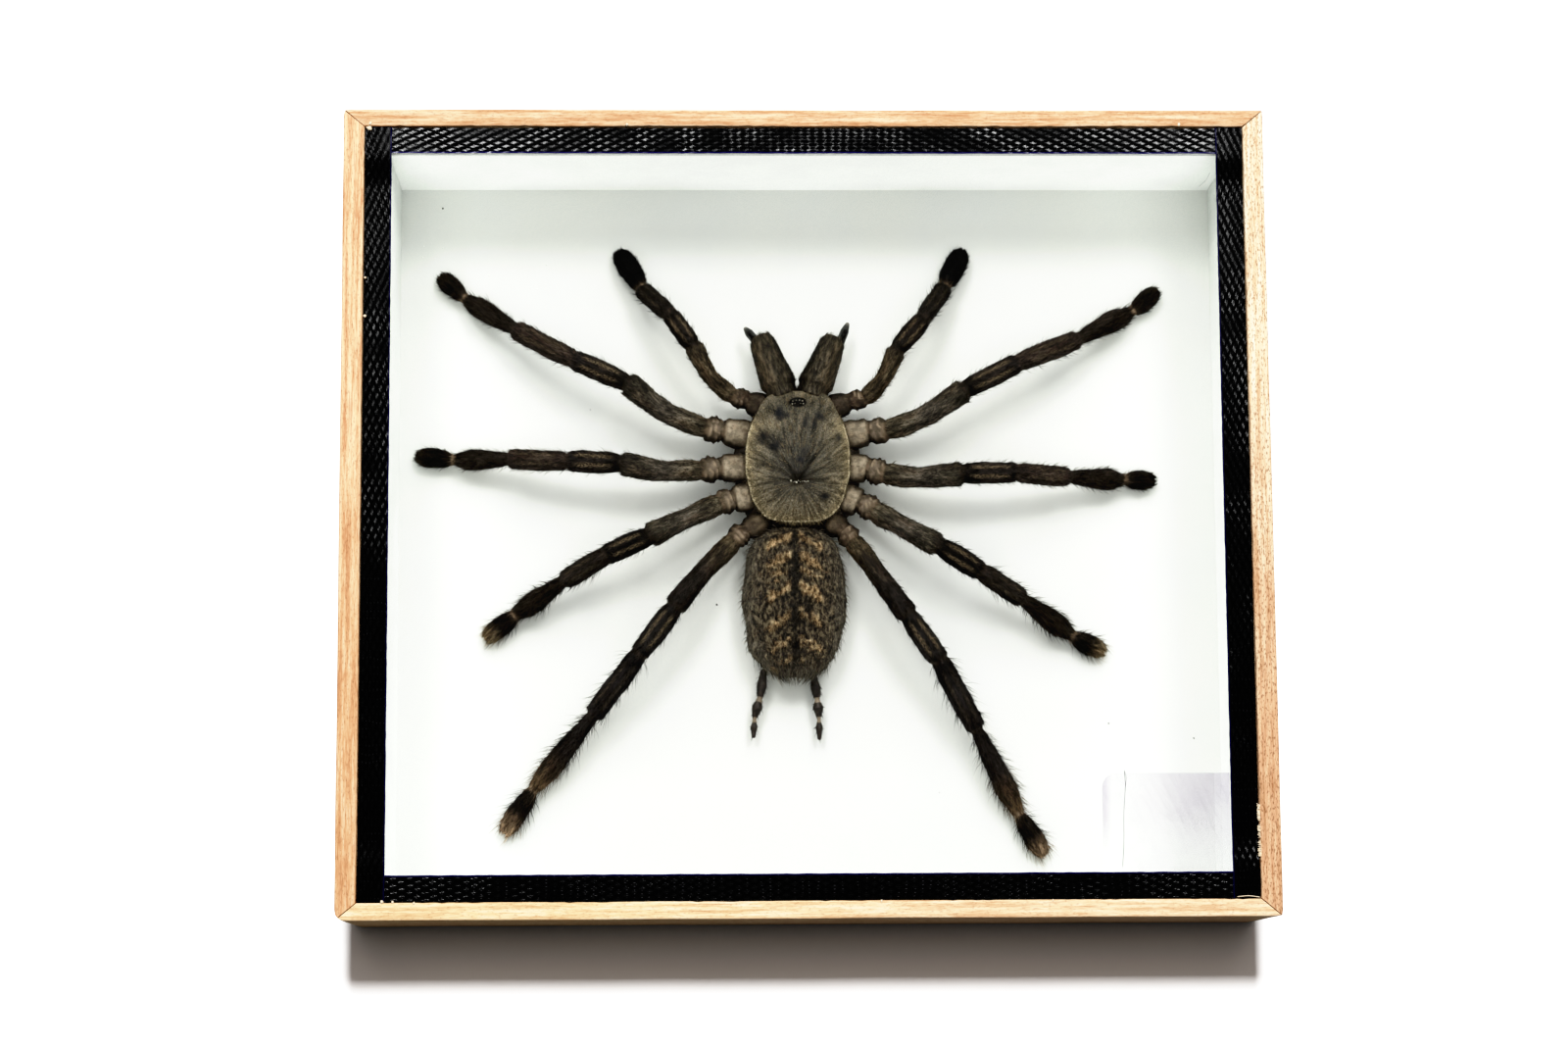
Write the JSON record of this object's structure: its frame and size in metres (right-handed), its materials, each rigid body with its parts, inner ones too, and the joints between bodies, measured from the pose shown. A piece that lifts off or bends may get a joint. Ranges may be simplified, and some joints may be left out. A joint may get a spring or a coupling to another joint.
{
  "type": "framed tarantula specimen",
  "caption": "Dried tarantula laid out on white card in a shallow glazed wooden box frame, with black tape round the glass and a blank clear corner label.",
  "frame": {"origin": "centre of the back face, on the surface that the box lies on", "axes": "+Z out of the glass, +Y towards the edge that the spider's head faces, +X to the viewer's right"},
  "size_m": [0.16, 0.14, 0.032],
  "materials": {
    "wood": "smooth bare pale wood with a fine grain",
    "hardboard": "plain brown hardboard",
    "card": "matte white card",
    "foam": "matte white foam board",
    "glass": "clear, polished",
    "tape": "glossy black with a woven emboss",
    "label": "clear blank film",
    "carapace": "dull, covered in short golden-brown hairs",
    "underbody": "dull dark brown",
    "abdomen": "velvety dark brown with tan patches",
    "spinneret": "dull dark brown",
    "chelicera": "dull, short brown hairs",
    "fang": "glossy black",
    "limb": "dull grey-brown, hairy, with pale rings at the joints"
  },
  "bodies": {
    "root": {"rail_top": "wood", "rail_bottom": "wood", "rail_left": "wood", "rail_right": "wood", "back_panel": "hardboard", "mounting_board": "card", "liner_top": "foam", "liner_bottom": "foam", "liner_left": "foam", "liner_right": "foam", "glass": "glass", "tape_top": "tape", "tape_bottom": "tape", "tape_left": "tape", "tape_right": "tape", "corner_label": "label", "carapace": "carapace", "sternum": "underbody", "abdomen": "abdomen", "spinneret_left": "spinneret", "spinneret_right": "spinneret", "chelicera_left": "chelicera", "chelicera_right": "chelicera", "fang_left": "fang", "fang_right": "fang", "pedipalp_left": "limb", "pedipalp_right": "limb", "leg_1_left": "limb", "leg_1_right": "limb", "leg_2_left": "limb", "leg_2_right": "limb", "leg_3_left": "limb", "leg_3_right": "limb", "leg_4_left": "limb", "leg_4_right": "limb"}
  },
  "joints": []
}
